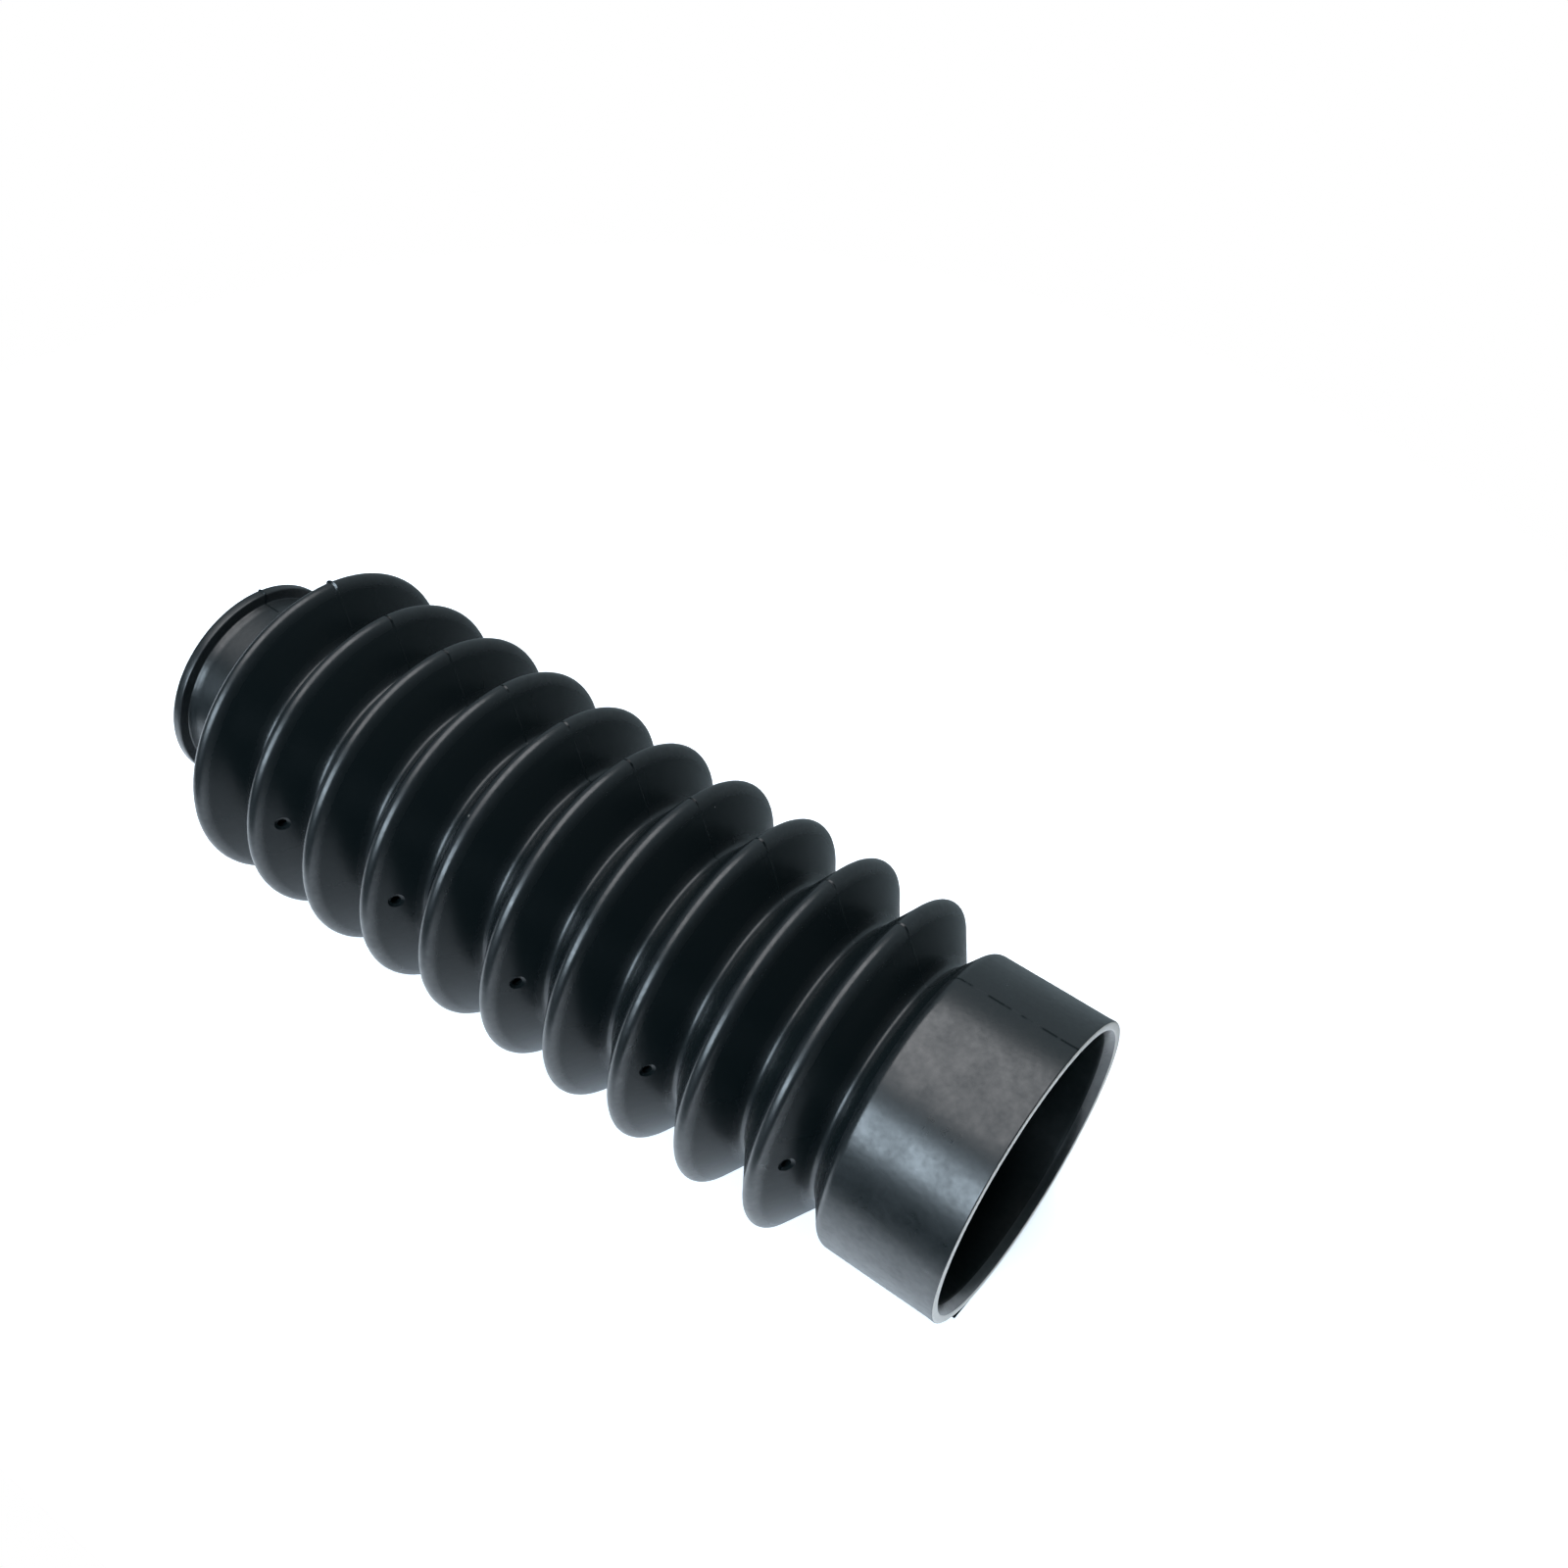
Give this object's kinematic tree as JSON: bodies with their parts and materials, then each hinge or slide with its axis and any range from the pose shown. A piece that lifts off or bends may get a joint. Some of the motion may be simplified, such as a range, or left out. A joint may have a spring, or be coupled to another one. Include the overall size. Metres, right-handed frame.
{
  "type": "fork gaiter",
  "caption": "Moulded rubber bellows sleeve with V-shaped folds, a wide plain cuff and a narrow lipped collar, slipped over a telescopic fork leg to keep dirt off.",
  "frame": {"origin": "on the axis, in the plane of the wide cuff's rim, which the gaiter stands on", "axes": "+Z along the axis from the wide cuff up to the narrow collar; the breather holes face the direction halfway between -X and -Y, and the mould's parting lines run 90 degrees to either side of them"},
  "size_m": [0.0744, 0.0744, 0.2105],
  "materials": {
    "rubber": "satin black moulded rubber with a faint cloudy bloom"
  },
  "bodies": {
    "root": {"gaiter": "rubber"}
  },
  "joints": []
}
